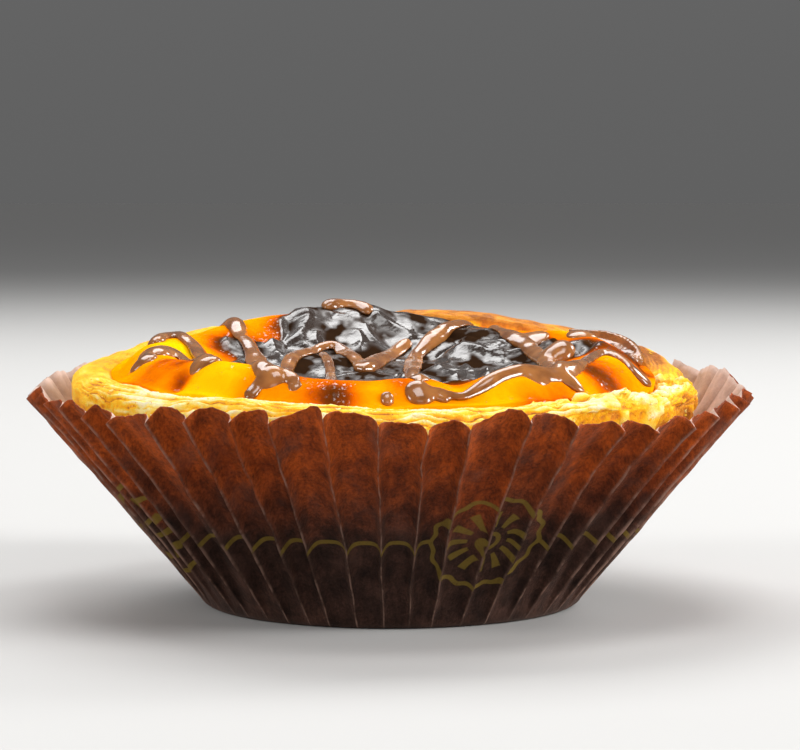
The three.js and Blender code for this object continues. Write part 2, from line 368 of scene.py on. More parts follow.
# Where the rim stands lower: middle and reach in degrees, depth
paperDips = [(-47, 15, 1.7), (-84, 8, 1.1), (-98, 6, -0.7), (-137, 9, 0.7)]
paperThickness = 0.16
paperStart = 0.16  # share of the rows below the wall, half of it on the base and half on the corner
paperPrint = {
    "lineHeight": 0.375,  # share of the wall's length
    "lineWidth": 0.6,
    "lineSag": 0.07,
    "badgeAngle": -66.2,  # of the first badge, in degrees. The others follow every 90 degrees
    "badgeHeight": 0.37,
    "badgeRadius": 6.4,
    "ringWidth": 0.6,
}


def paperOutsideMaterial():
    material, tree, shader, place = startMaterial("paperOutside")
    u, v, _ = partsOf(tree, addNode(tree, "ShaderNodeUVMap", uv_map="paperMap").outputs[0])
    share = ((v - paperStart) / (1 - paperStart)).clamp()
    acrossFold = u * paper["flutes"]
    foldDistance = abs((acrossFold + 0.5).floor() - acrossFold) * (2.9 + share * 2.7)
    z = partsOf(tree, place)[2]
    angle = u * fullTurn
    streak = noiseOf(tree, vectorOf(tree, angle.cos() * 40, angle.sin() * 40, share * 10), 1.0, 4, 0.65)
    blotch = noiseOf(tree, place, 0.38, 4, 0.6)
    fibre = noiseOf(tree, scaled(tree, place, (1, 1, 0.6)), 3.2, 4, 0.75)
    panelTone = noiseOf(tree, vectorOf(tree, acrossFold.floor() * 3.7, 0, 0), 1.0, 0)
    # painted light: the upper wall is painted orange-red as if lit through the paper from inside, and the
    # lower wall is painted dark as shade; the blotches in both are the paper's own mottling
    paintedGlowShare = (z + (blotch - 0.5) * 6 + (panelTone - 0.5) * 7).smooth(9.5, 21.5)
    paintedShadeColour = mixColour(tree, blotch.smooth(0.25, 0.75), (0.01, 0.0045, 0.003), (0.045, 0.02, 0.013))
    light = mixColour(tree, blotch.smooth(0.25, 0.75), (0.12, 0.019, 0.002), (0.28, 0.048, 0.004))
    colour = mixColour(tree, paintedGlowShare, paintedShadeColour, light)
    shade = streak.smooth(0.3, 0.7) * 0.7 + fibre.smooth(0.3, 0.7) * 1.0 + 0.4
    colour = mixColour(tree, 1.0, colour, vectorOf(tree, shade, shade, shade * 1.05), "MULTIPLY")
    ashy = noiseOf(tree, scaled(tree, place, (1, 1, 0.7)), 0.2, 3, 0.6).smooth(0.5, 0.72)
    colour = mixColour(tree, ashy * 0.4, colour, (0.1, 0.048, 0.036))

    # pale creases along the folds, and a few flecks
    patchy = noiseOf(tree, vectorOf(tree, angle.cos() * 18, angle.sin() * 18, share * 11), 1.0, 3, 0.7)
    worn = (1 - foldDistance.smooth(0.02, 0.13)) * (0.15 + patchy.smooth(0.4, 0.62))
    fleck = noiseOf(tree, scaled(tree, place, (1, 1, 1.8)), 3.4, 3, 0.8).smooth(0.68, 0.76)
    colour = mixColour(tree, (worn * 0.6).most(fleck * 0.4).clamp(), colour, (0.34, 0.2, 0.15))

    # printed line and badges
    def stroke(away, width):  # 1 on the ink, with soft edges
        return 1 - away.smooth(width * 0.4, width * 0.62)

    turn = ((angle - math.radians(paperPrint["badgeAngle"]) + math.pi / 4) % (math.pi / 2)) - math.pi / 4
    across = turn * 31
    up = (share - paperPrint["badgeHeight"]) * paper["wallLength"]
    reach = (across * across + up * up) ** 0.5
    bearing = across.do("ARCTAN2", up, across)
    ringEdge = abs(reach - paperPrint["badgeRadius"] - (bearing * 16).cos() * 0.18)
    ring = stroke(ringEdge, paperPrint["ringWidth"])
    rays = abs((bearing * 6).cos()).smooth(0.7, 0.86) * reach.smooth(2.2, 2.4) * (1 - reach.smooth(4.5, 4.7))
    bead = 1 - abs(reach - 1.2).smooth(0.22, 0.36)
    badge = ring.most(rays).most(bead)
    sag = (acrossFold % 1 - 0.5) * (acrossFold % 1 - 0.5) * paperPrint["lineSag"]  # lower towards the folds
    lineAway = abs(share + sag - paperPrint["lineHeight"]) * paper["wallLength"]
    line = stroke(lineAway, paperPrint["lineWidth"]) * (reach - paperPrint["badgeRadius"]).smooth(-0.1, 0.1)
    ink = badge.most(line) * (0.5 + 0.5 * fibre.smooth(0.2, 0.5)) * (1 - worn * 0.7).clamp()
    colour = mixColour(tree, ink * 0.85, colour, (0.19, 0.125, 0.02))

    feed(shader, {"Base Color": colour, "Roughness": 0.55, "Specular IOR Level": 0.08})
    feed(shader, {"Sheen Weight": 0.13, "Sheen Roughness": 0.5, "Sheen Tint": (0.7, 0.45, 0.36)})
    addBump(tree, shader, fibre * 0.5 + streak * 0.3 + blotch * 0.4, 0.0002, 0.8)
    return material


def paperInsideMaterial():
    material, tree, shader, place = startMaterial("paperInside")
    blotch = noiseOf(tree, place, 0.5, 4, 0.6)
    fibre = noiseOf(tree, place, 3.0, 3, 0.6)
    colour = mixColour(tree, blotch.smooth(0.25, 0.75), (0.42, 0.27, 0.21), (0.64, 0.45, 0.37))
    colour = mixColour(tree, fibre * 0.4, colour, (0.7, 0.52, 0.44))
    feed(shader, {"Base Color": colour, "Roughness": 0.6, "Specular IOR Level": 0.2})
    addBump(tree, shader, fibre, 0.0001, 0.5)
    return material


def paperCaseTree(material):
    tree, given, result = geometryTree("pleatedCase", paper)
    value = {key: Sum(tree, given.outputs[key]) for key in paper}
    counts = {"Vertices X": value["columns"] + 1, "Vertices Y": value["rows"] + 1}
    grid = addNode(tree, "GeometryNodeMeshGrid", counts)
    x, y, _ = positionParts(tree)
    u, v = x + 0.5, y + 0.5
    half = paperStart / 2
    onBase = (v / half).clamp()
    onCorner = ((v - half) / half).clamp()
    share = ((v - paperStart) / (1 - paperStart)).clamp()

    # the folds
    flutes = value["flutes"]
    column = u * flutes
    first = (column + 0.0001).floor()
    t = (column - first).most(0)

    def foldPlace(i):  # in radians
        k = i % flutes
        slow = (i / flutes * (2 * fullTurn) + math.radians(160)).cos() + 1
        place = i + value["unevenPitch"] * (k * k * 2.4 + 1).sin() - value["pitchShift"] * slow
        knee = noiseOf(tree, vectorOf(tree, k * 3.71, share * 3.5, 0), 1.0, 3, 0.6) - 0.5
        return place / flutes * fullTurn + knee * value["kink"] / 10 * share.smooth(0, 0.15)

    def foldSize(i):
        k = i % flutes
        return 1 + value["unevenRidge"] * (k * k * 3.1 + 0.5).sin()

    def between(a, b):
        return a + (b - a) * t

    angle = between(foldPlace(first), foldPlace(first + 1))
    side = abs(t * 2 - 1)
    fold = between(foldSize(first), foldSize(first + 1)) * side ** value["ridgeSharpness"]
    k = first % flutes
    lift = value["panelLift"] * (k * k * 5.7 + 2).sin() * (1 - side * side) * share
    streak = noiseOf(tree, vectorOf(tree, angle.cos() * 9, angle.sin() * 9, share * 1.6), 1.0, 2, 0.5) - 0.5
    free = angle.sin().smooth(-0.25, 0.4)
    depth = value["foldDepth"] * ((share / 0.33).clamp() ** 0.8 + free * share ** 6 * 0.7)
    out = value["ridgeHeight"] * share - depth * (1 - fold) - lift + streak * 0.9 * share
    out = out + free * share ** 6 * 0.4

    # the wall's own line, a little longer where the rim stands free
    flare = value["flareAtBase"] + (value["flareAtRim"] - value["flareAtBase"]) * share
    curve = (value["flareAtRim"] - value["flareAtBase"]) / value["wallLength"]
    turned = onCorner * (math.pi / 2 - value["flareAtBase"])
    radius = value["baseRadius"] * onBase + value["cornerRadius"] * turned.sin()
    radius = radius + (value["flareAtBase"].cos() - flare.cos()) / curve + out * flare.cos()
    height = value["cornerRadius"] * (1 - turned.cos())
    height = height + (flare.sin() - value["flareAtBase"].sin()) / curve - out * flare.sin()
    ragged = noiseOf(tree, vectorOf(tree, angle.cos() * 30, angle.sin() * 30, 0), 1.0, 3, 0.7) - 0.5
    slant = value["rimSlant"] * (k * k * 4.3 + 0.7).sin() * (t - 0.5) * (1 - side ** 4)
    height = height + share ** 10 * (value["rimRise"] * free + ragged * 1.1 + slant)
    for middle, reach, drop in paperDips:
        away = abs((angle - math.radians(middle) + math.pi) % fullTurn - math.pi)
        height = height - (1 - away.smooth(0, math.radians(reach) * 1.8)) * drop * share ** 4
    radius = radius * (1 - value["narrowing"] * share * angle.sin() * angle.sin())
    place = vectorOf(tree, radius * angle.cos(), radius * angle.sin(), height)

    # a little crumpling, none on the base
    noise = addNode(tree, "ShaderNodeTexNoise", {"Vector": place, "Scale": 0.28, "Detail": 3})
    dx, dy, dz = [part - 0.5 for part in partsOf(tree, noise.outputs["Color"])]
    amount = value["crumple"] * share.smooth(0, 0.25)
    offset = vectorOf(tree, dx * amount, dy * amount, dz * amount * 0.6)
    total = addNode(tree, "ShaderNodeVectorMath", {0: place, 1: offset}, operation="ADD").outputs[0]

    marks = {"Name": "paperMap", "Value": grid.outputs["UV Map"]}
    flat = grid.outputs["Mesh"]
    shape = worked(tree, flat, "StoreNamedAttribute", marks, data_type="FLOAT2", domain="CORNER")
    shape = worked(tree, shape, "SetPosition", {"Position": scaled(tree, total, mm)})
    shape = worked(tree, shape, "MergeByDistance", {"Distance": 0.000004})
    return finishTree(tree, worked(tree, shape, "SetShadeSmooth"), material, result)


def makePaperCase():
    tree = paperCaseTree(paperOutsideMaterial())
    mesh = meshFromTree(tree, bpy.data.meshes.new("caseHost"), paper)
    mesh.materials.append(paperInsideMaterial())
    case = addObject("paperCase", mesh)
    adjust(case.modifiers.new("thickness", "SOLIDIFY"), thickness=paperThickness * mm, offset=-1,
           material_offset=1, material_offset_rim=0)
    settle(case, "paper_case", "paper_case")


# ---- pastry shell

pastry = {
    "underside": 0.65,
    "baseRadius": 21.5,
    "coneSlope": 0.73,
    "bendStart": 13,
    "bend": 0.0187,
    "rimHeight": 29.7,
    "rimTilt": 3.6,
    "rimWidth": 4.3,
    "sideShift": -0.7,
    "floorThickness": 3,
    "floorRadius": 18,
    "paperRoom": 1.2,  # how far the lower wall keeps off the folded paper
    "layerSpacing": 0.75,
    "layerDepth": 0.4,
    "sectors": 800,
    "wallRows": 40,
    "rimRows": 60,
}
# Where the rim sank in the oven: middle and reach in degrees, depth
rimDips = [(165, 38, 1.4), (2, 48, 2.6)]
# Where the rim is wider: middle and reach in degrees, extra width
rimSwells = [(-20, 30, 1.8), (180, 30, 1.2)]
# Where the rim rose higher: middle and reach in degrees, extra height
rimRises = [(76, 18, 0.6), (31, 16, 0.8)]
# How much lighter the crust is round the rim: middle and reach in degrees, change
rimTones = [(-132, 19, 0.18), (78, 42, -0.42), (5, 9, 0.14)]
# The rim's cross-section from outside to inside: share of its width, height from its top
rimProfile = [(0, -1.6), (0.02, -1.2), (0.08, -0.75), (0.2, -0.3), (0.38, -0.04), (0.55, 0), (0.75, -0.12),
              (0.92, -0.5), (1, -0.9)]


def rimTop(angle):
    level = pastry["rimHeight"] + pastry["rimTilt"] * np.sin(angle) + 0.35 * wobble(angle, 2.1, 3, 6)
    return level - humpsAt(angle, rimDips) + humpsAt(angle, rimRises)


def shellRadius(angle, height):
    cone = pastry["baseRadius"] + pastry["coneSlope"] * height
    cone = cone - pastry["bend"] * np.maximum(0, height - pastry["bendStart"]) ** 2
    risen = smoothStep(height, pastry["bendStart"], 26)
    return cone + risen * (pastry["sideShift"] * np.cos(angle) + 0.32 * wobble(angle, 4.7, 2, 7))


def rimWidth(angle):
    return pastry["rimWidth"] + 0.4 * wobble(angle, 1.3, 2, 5) + humpsAt(angle, rimSwells)


def shellSurface():
    angle = np.arange(pastry["sectors"]) / pastry["sectors"] * fullTurn
    top = rimTop(angle)
    low = pastry["underside"]
    width = rimWidth(angle)
    rows = [(0, low, 0)]  # radius, height, how much this row belongs to the rim
    for share in (0.5, 0.93, 0.985):
        rows.append((share * (shellRadius(angle, low) - pastry["paperRoom"]), low, 0))
    for share in np.linspace(0, 1, pastry["wallRows"]) ** 0.75:
        height = low + 0.9 + (top - 1.9 - low - 0.9) * share
        room = pastry["paperRoom"] * (1 - smoothStep(height, 13, 25))
        upright = smoothStep(top - height, 5.5, 1.6)
        radius = shellRadius(angle, height) * (1 - upright) + shellRadius(angle, top) * upright
        rows.append((radius - room, height, smoothStep(top - height, 4.6, 2.4)))
    rimRadius = shellRadius(angle, top)
    along = np.linspace(0, 1, pastry["rimRows"])
    corners = np.linspace(0, 1, len(rimProfile))
    across, rise = (np.interp(along, corners, column) for column in zip(*rimProfile))
    for share, up in zip(across, rise):
        rows.append((rimRadius - share * width, top + up, 1))
    inner = rimRadius - width
    floor = low + pastry["floorThickness"]
    rows.append((inner - 0.1, top - 2.2, 0))
    rows.append(((inner + pastry["floorRadius"]) / 2 + 1.2, (top + floor) / 2, 0))
    rows.append((pastry["floorRadius"], floor, 0))
    rows.append((0, floor, 0))
    radius, height, rim = (np.array([row[k] + 0 * angle for row in rows]) for k in range(3))
    return ringPoints(radius, angle, height), rim, angle


def flakyShare(angle):  # where the baked leaves have opened up
    return np.clip(angleWindow(angle, -158, -56, 10) + 0.2 * angleWindow(angle, -56, 20, 14) + 0.1, 0, 1)


def puffyShare(angle):  # where the pastry has blown up into small bubbles
    return angleWindow(angle, -62, 8, 9)


def makePastryShell():
    points, rim, angle = shellSurface()
    normal = gridNormals(points)
    x, y, z = (points[..., k] for k in range(3))
    radius = np.hypot(x, y)
    step = np.linalg.norm(np.diff(points, axis=0), axis=2)
    along = np.vstack([0 * step[:1], np.cumsum(step, 0)])  # along the surface from below

    a = angle[None, :] + 0 * z
    c, s = np.cos(a), np.sin(a)
    flaky, puffy = flakyShare(a), puffyShare(a)
    warp = 1.3 * softNoise(c * 3.4, s * 3.4, along * 0.12, 3)
    warp = warp + 0.8 * softNoise(c * 10, s * 10, along * 0.4, 5)
    warp = warp + 0.3 * softNoise(c * 30, s * 30, along * 0.9, 6)
    layer = along / pastry["layerSpacing"] + warp
    which = np.floor(layer)
    part = layer - which
    leaf = np.where(part < 0.75, (part / 0.75) ** 1.4, (1 - part) / 0.25)
    broken = smoothStep(softNoise(c * 7, s * 7, which * 1.7, 11), -0.4, 0.35)
    ragged = 0.8 + 0.2 * softNoise(c * 34, s * 34, which * 2.3, 13)
    relief = pastry["layerDepth"] * leaf * ragged * (0.15 + 0.85 * broken) * flaky
    bubble = np.maximum(0, softNoise(x * 0.62, y * 0.62, z * 0.62, 71)) ** 0.6
    bubble = bubble + 0.35 * np.maximum(0, softNoise(x * 1.4, y * 1.4, z * 1.4, 73)) ** 0.7
    puff = 0.4 * layeredNoise(x * 0.25, y * 0.25, z * 0.25, 2, 17)
    streaks = softNoise(c * 28, s * 28, z * 0.16, 23) + 0.6 * softNoise(c * 75, s * 75, z * 0.25, 29)
    shown = smoothStep(z, 14, 20) * (radius > 19)
    inward = np.clip((shellRadius(a, rimTop(a)) - radius) / rimWidth(a), 0, 1)  # share of the rim's width
    inward[:pastry["wallRows"] + 4] = 0
    puffyWall = puffy * np.maximum(rim, 0.8 * shown * angleWindow(a, -62, -6, 8))
    move = rim * (relief - 0.1 - 0.35 * c * c + puff) + 0.85 * puffyWall * (bubble - 0.35)
    move = move + (1 - rim) * shown * (0.22 * streaks * (1 - puffy) + 0.5 * puff)
    points = points + normal * move[..., None]

    # tone: 0 is brown-orange, 0.5 golden, 1 cream
    tone = 0.48 + humpsAt(a, rimTones) - 0.45 * angleHump(a, 24, 13) * smoothStep(inward, 0.15, 0.5)
    blotch = layeredNoise(c * 9, s * 9, along * 0.4, 3, 81)
    mottle = layeredNoise(c * 22, s * 22, along * 1.1, 2, 87)
    # painted light and shade on the layers: each leaf's raised edge is painted lighter as if lit, and the
    # grooves between the leaves are painted darker as shade
    paintedEdgeLight = smoothStep(part, 0.2, 0.7) * (part < 0.8) - 0.4
    grooveShade = np.maximum(hump(part, 0, 0.1), hump(part, 1, 0.1))
    tone = tone + 0.3 * blotch + 0.34 * mottle * (0.15 + 0.85 * flaky) + 0.08 * flaky
    tone = tone + (0.4 * paintedEdgeLight - 0.5 * grooveShade) * flaky * (0.3 + 0.7 * broken) * rim
    sideTone = 0.36 + (0.4 * streaks + 0.25 * mottle) * (1 - puffy) + 0.2 * blotch
    tone = rim * tone + (1 - rim) * (sideTone + 0.12 * angleHump(a, -140, 30))
    golden = angleWindow(a, -28, 10, 6) * (1 - smoothStep(inward, 0.15, 0.45))  # browner outer edge
    # the bubbles' raised tops are painted paler: partly their own cream colour, partly painted light on the
    # tops
    tone = tone + puffyWall * (1 - 0.7 * golden) * (0.08 + 0.6 * (bubble - 0.35)) - 0.3 * golden
    crumbly = np.clip(flaky * rim + 0.7 * puffyWall, 0, 1)
    mesh = loftMesh("pastryShell", points, {"tone": np.clip(tone, 0, 1), "flaky": crumbly})
    shell = addObject("pastryShell", mesh)
    mesh.materials.append(pastryMaterial())
    settle(shell, "pastry", "pastry_shell")
    return shell


crustTones = [(0.0, (0.36, 0.115, 0.022)), (0.2, (0.74, 0.28, 0.035)), (0.42, (1.0, 0.48, 0.015)),
              (0.6, (1.0, 0.64, 0.06)), (0.8, (1.0, 0.8, 0.27)), (1.0, (1.0, 0.92, 0.6))]


def pastryMaterial():
    material, tree, shader, place = startMaterial("pastryCrust")
    grain = noiseOf(tree, place, 1.6, 5, 0.7)
    flaky = attributeOf(tree, "flaky")
    tone = attributeOf(tree, "tone") + (grain - 0.5) * (0.3 + flaky * 0.35)
    colour = ramp(tree, tone, crustTones)
    feed(shader, {"Base Color": colour, "Roughness": 0.32 + flaky * 0.1, "Specular IOR Level": 0.03})
    addDepth(shader, 0.25, (1.0, 0.5, 0.1), 0.001)
    addBump(tree, shader, grain * (0.4 + flaky), 0.0004, 0.6)
    return material


# ---- custard

custard = {
    "edgeHeight": 29.7,
    "tilt": 0.092,
    "ringHeight": 1.4,
    "ringPlace": 0.86,
    "ringWidth": 0.1,
    "sink": 2.7,
    "gap": 0.35,
    "tuck": 0.75,  # how far the custard reaches into the pastry
    "wrinkle": 0.4,
    "sectors": 520,
    "rings": 185,
}
# Where the surface stands higher or lower than the rest: x, y, reach, height
rises = [
    (-6.5, 27.5, 7, 1.5), (-17, 22, 6, 0.5), (0, 4, 8, -0.3), (-7, 13, 6, 0.5), (16, -26, 4.5, 0.35),
    (-19, -24.5, 4.5, 0.45), (-23.4, -21, 1.5, -0.9), (-27.5, -16, 3.5, 0.35), (24, -16.5, 3.5, -0.5),
    (-5.6, 29.6, 2.2, 0.7),
]
# Crossing folds of the skin: heading in degrees, spacing, start, share
skinFoldSets = [(18, 9.5, 0.4, 0.45), (-38, 7.6, 1.9, 0.35), (71, 11, 3.1, 0.4), (-8, 6.1, 5.2, 0.25)]
# Single large folds: from x, y to x, y, height, half width
largeFolds = [
    (-3.5, 30, 2.4, 20, 0.9, 1.3), (-12, 25, -10.2, 15, 0.8, 1.3), (-10, 20, -8, 15.5, 0.5, 0.9),
    (-5.5, 21, -3.5, 16, 0.6, 0.9), (-3, 24, -0.7, 18, 0.6, 0.9), (8, 15.5, 16.5, 13.5, 0.8, 1.1),
    (9.8, 6, 11, -6, 0.8, 1.1), (11, -6, 15.5, 9, 0.8, 1.1), (6, 12.5, 7, -3, 0.6, 0.9),
    (3, 4, 5, -12, 0.5, 0.9), (22, 3, 27, 9, 0.6, 0.8), (19, 5, 22.3, 12, 0.7, 1.2),
    (-23, 8, -21, 15, 0.5, 1.0), (-16, 7, -14, 16, 0.7, 1.2), (-1.5, -14, 2, 4, 0.5, 1.0),
]
# Patches more scorched than what lies round them, or less: x, y, reach, change
scorchPatches = [
    (-28, -17, 4.5, 0.16), (-23.5, -20.6, 1.3, 0.42), (-23.7, -17, 1.6, 0.3), (-25.2, -13.6, 2.6, 0.26),
    (-19.5, -25.5, 4.5, -0.25), (-15, -27, 2.5, 0.12), (-16.2, -30, 1.0, 0.45), (-9, -29, 3, 0.06),
    (-6, -31.4, 2.4, 0.6), (-2, -30, 2.5, -0.02), (1.5, -29.3, 1.8, 0.25), (14.5, -27, 4, -0.2),
    (15.8, -28.3, 2.3, 0.42), (19.4, -25.8, 2.2, 0.28), (24.5, -14, 6, 0.24), (23.8, -16.5, 3.4, 0.26),
    (29.4, 3, 3.6, 0.5), (27, 10, 4.5, 0.35), (-17, 21.5, 4, 0.03), (25, 18, 4, -0.15), (-25, 4, 3.6, -0.3),
    (-13, 21, 2.8, 0.35), (-19.5, 13, 3.8, 0.65), (23, 8, 3.4, 0.6),
]
# Where the burnt middle reaches further out, or less far: middle and reach in degrees, change
scorchReaches = [(93, 26, 0.3), (178, 36, -0.2), (5, 28, -0.12), (131, 12, -0.1), (-90, 30, 0.02)]
# Where the ring round the middle is lower: middle and reach in degrees, depth
ringDips = [(-92, 15, 0.8), (-74, 6, 1.3)]


def custardRadius(angle):
    return shellRadius(angle, rimTop(angle)) - rimWidth(angle) - custard["gap"]


def skinFolds(x, y):
    total = 0
    for heading, spacing, start, share in skinFoldSets:
        turn = math.radians(heading)
        along = x * math.cos(turn) + y * math.sin(turn)
        bent = 1.1 * np.sin((y * math.cos(turn) - x * math.sin(turn)) / 5.3 + start)
        total = total + share * (1 - 2 * np.abs(np.sin(math.pi * along / spacing + bent + start)))
    return total


def skinHeight(x, y):
    angle = np.arctan2(y, x)
    share = np.hypot(x, y) / custardRadius(angle)
    swell = custard["ringHeight"] - 0.7 * np.sin(angle) - hump(angle, 1.25, 0.5)
    swell = swell + 0.3 * wobble(angle, 6.3, 5, 9) - humpsAt(angle, ringDips)
    ring = swell * hump(share, custard["ringPlace"], custard["ringWidth"])
    middle = 1 - smoothStep(share, 0.45, 0.85)
    plane = custard["edgeHeight"] + custard["tilt"] * y
    height = plane + ring - custard["sink"] * middle - 0.9 * smoothStep(share, 0.93, 1)
    return height - 0.9 * humpsAt(angle, rimDips) * np.minimum(share, 1) ** 4 + moundsAt(x, y, rises)


def scorchAt(x, y):  # 0 is bright yellow, 1 is black
    angle = np.arctan2(y, x)
    share = np.hypot(x, y) / custardRadius(angle)
    reach = 0.79 + humpsAt(angle, scorchReaches) + 0.04 * layeredNoise(x * 0.25, y * 0.25, 0, 3, 31)
    burnt = 1 - smoothStep(share, reach - 0.06, reach + 0.05)
    ringTone = 0.16 + 0.13 * layeredNoise(x * 0.16, y * 0.16, 4, 3, 37)
    ringTone = ringTone + 0.2 * (1 - smoothStep(share, reach, reach + 0.13))
    return np.clip(np.maximum(burnt, ringTone) + moundsAt(x, y, scorchPatches), 0, 1)


def foldRelief(x, y):
    total = 0 * x
    for x1, y1, x2, y2, height, width in largeFolds:
        length = math.hypot(x2 - x1, y2 - y1)
        along = ((x - x1) * (x2 - x1) + (y - y1) * (y2 - y1)) / length
        across = ((x - x1) * (y2 - y1) - (y - y1) * (x2 - x1)) / length
        across = across + 0.9 * np.sin(along * 0.55 + x1)
        ends = smoothStep(along, -width, width) * (1 - smoothStep(along, length - width, length + width))
        crest = height * np.exp(-np.sqrt((across / width) ** 2 + 0.06) * 1.3 + 0.32)
        total = total + crest * ends
    return total


def skinDetail(x, y, scorch):
    burnt = smoothStep(scorch, 0.5, 0.9)
    warpX = x + 1.6 * softNoise(x * 0.25, y * 0.25, 2, 41)
    warpY = y + 1.6 * softNoise(x * 0.25, y * 0.25, 5, 43)
    pillow = 1 - ridgedNoise(warpX * 0.18, warpY * 0.1, 1, 47, 0.1)
    small = 1 - ridgedNoise(warpX * 0.34, warpY * 0.28, 3, 53, 0.25)
    wrinkles = custard["wrinkle"] * (2.6 * pillow + skinFolds(x, y) * 0.3 - 1.2)
    wrinkles = wrinkles + 0.5 * (small - 0.5) + 0.9 * foldRelief(x, y)
    soft = 0.22 * layeredNoise(x * 0.22, y * 0.22, 7, 2, 59)
    return burnt * wrinkles + (1 - burnt) * soft


def custardSkin(x, y):
    scorch = scorchAt(x, y)
    return skinHeight(x, y) + skinDetail(x, y, scorch), scorch


def makeCustard():
    sectors, rings = custard["sectors"], custard["rings"]
    angle = np.arange(sectors) / sectors * fullTurn
    edge = custardRadius(angle) + custard["tuck"]
    floor = pastry["underside"] + pastry["floorThickness"] + custard["gap"]
    floorRadius = pastry["floorRadius"] - 1.2
    edgeTop, edgeScorch = custardSkin(edge * np.cos(angle), edge * np.sin(angle))
    side = [(0, floor), (floorRadius, floor), ((edge + floorRadius) / 2 + 0.4, (edgeTop + floor) / 2),
            (edge - 0.3, edgeTop - 1.2)]
    rows = [ringPoints(radius, angle, height) for radius, height in side]
    shade = [edgeScorch] * len(side)
    crest = [0 * angle] * len(side)
    for ring in range(rings + 1):
        radius = edge * (1 - ring / rings)
        x, y = radius * np.cos(angle), radius * np.sin(angle)
        height, scorch = custardSkin(x, y)
        rows.append(np.stack([x, y, height], 1))
        shade.append(scorch)
        crest.append(smoothStep(foldRelief(x, y), 0.12, 0.5))
    mesh = loftMesh("custardFilling", np.array(rows), {"scorch": np.array(shade), "crest": np.array(crest)})
    filling = addObject("custardFilling", mesh)
    mesh.materials.append(custardMaterial())
    settle(filling, "custard", "custard_filling")


def custardMaterial():
    material, tree, shader, place = startMaterial("custardSkin")
    blotch = noiseOf(tree, place, 0.6, 4, 0.6)
    freckle = noiseOf(tree, place, 2.2, 3, 0.6)
    tone = attributeOf(tree, "scorch") + (blotch - 0.5) * 0.18 + (freckle - 0.5) * 0.08
    colour = ramp(tree, tone, [
        (0.0, (1.0, 0.5, 0.002)), (0.14, (1.0, 0.35, 0.001)), (0.3, (0.92, 0.22, 0.001)),
        (0.45, (0.6, 0.1, 0.001)), (0.58, (0.24, 0.04, 0.003)), (0.72, (0.09, 0.024, 0.003)),
        (0.88, (0.04, 0.017, 0.006)), (1.0, (0.025, 0.012, 0.006))])
    # the burnt skin is greasy in patches and on its folds and dull between them, the rest only has wet spots
    burnt = tone.smooth(0.68, 0.9)
    patches = noiseOf(tree, scaled(tree, place, (1, 0.5, 1)), 0.33, 2, 0.5).smooth(0.44, 0.6)
    greasy = (patches * 0.9 + attributeOf(tree, "crest") * 0.8).clamp()
    wet = noiseOf(tree, place, 1.1, 2, 0.5).smooth(0.66, 0.74)
    sparkle = noiseOf(tree, place, 2.4, 1, 0.5).smooth(0.62, 0.7) * tone.smooth(0.35, 0.55)
    shine = burnt * greasy + (1 - burnt) * (wet * 0.1 + sparkle * 0.5)
    dullness = 0.17 + burnt * (1 - greasy) * 0.3
    feed(shader, {"Base Color": colour, "Roughness": dullness, "Specular IOR Level": shine})
    addDepth(shader, (1 - burnt) * 0.2, (1.0, 0.4, 0.02), 0.001)
    pimples = noiseOf(tree, place, 0.7, 2, 0.5) * (0.4 + burnt * 0.3)
    addBump(tree, shader, pimples, 0.0004, 0.5)
    return material


# ---- chocolate sauce

sauce = {
    "strandRadius": 0.95,
    "flatness": 0.66,
    "lift": 0.2,  # of the strand's middle over the skin
    "spread": 1.25,  # how much wider the thin edge is that wets the skin
    "spreadFlatness": 0.2,
    "unevenness": 0.35,
    "ringSides": 20,
    "pointSpacing": 0.4,
    "voxel": 0.2,
    "smoothing": 14,
}
